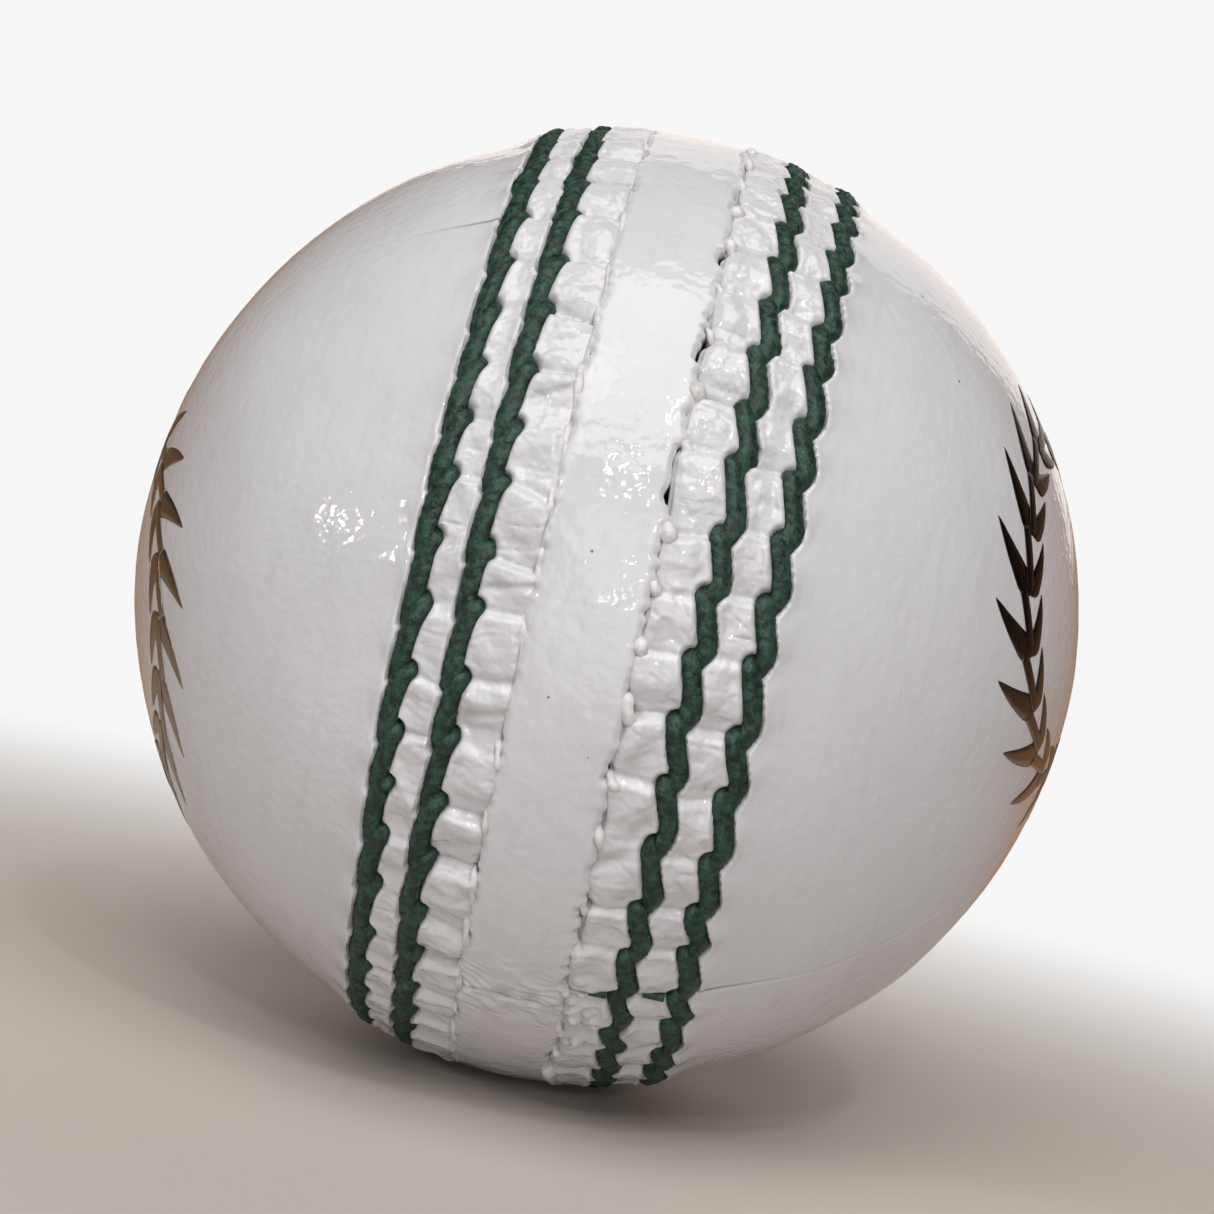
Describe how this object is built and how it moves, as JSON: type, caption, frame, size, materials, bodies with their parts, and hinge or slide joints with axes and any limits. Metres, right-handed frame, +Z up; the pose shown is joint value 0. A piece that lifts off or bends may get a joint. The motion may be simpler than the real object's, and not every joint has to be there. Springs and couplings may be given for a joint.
{
  "type": "cricket ball",
  "caption": "White leather four-piece cricket ball with a raised, hand-stitched green seam round a plain band, and a cork and yarn centre.",
  "frame": {"origin": "centre of the ball", "axes": "+X from pole to pole, square to the seam's plane; the main seam lies in the YZ plane; +Z up; -Y is the front"},
  "size_m": [0.0714, 0.0726, 0.0726],
  "materials": {
    "cork_rubber": "matt granulated cork bound with rubber",
    "cork": "matt sheet cork",
    "worsted_yarn": "tightly wound natural worsted yarn",
    "cover_leather": "white dyed leather under a gloss lacquer",
    "band_leather": "white dyed leather under a gloss lacquer",
    "lining_leather": "undyed thin leather",
    "green_thread": "waxed bottle-green linen thread",
    "white_thread": "waxed white linen thread"
  },
  "bodies": {
    "root": {"cork_core": "cork_rubber", "yarn_winding_inner": "worsted_yarn", "yarn_winding_middle": "worsted_yarn", "yarn_winding_outer": "worsted_yarn", "cork_wrap_inner_upper": "cork", "cork_wrap_inner_lower": "cork", "cork_wrap_outer_front": "cork", "cork_wrap_outer_back": "cork", "seam_band": "band_leather", "cover_left_front": "cover_leather", "cover_left_back": "cover_leather", "lining_left": "lining_leather", "closing_thread_left": "white_thread", "stitches_left_outer": "green_thread", "stitches_left_inner": "green_thread", "edge_stitches_left": "white_thread", "thread_tails_left": "green_thread", "cover_right_front": "cover_leather", "cover_right_back": "cover_leather", "lining_right": "lining_leather", "closing_thread_right": "white_thread", "stitches_right_outer": "green_thread", "stitches_right_inner": "green_thread", "edge_stitches_right": "white_thread", "thread_tails_right": "green_thread"}
  },
  "joints": []
}
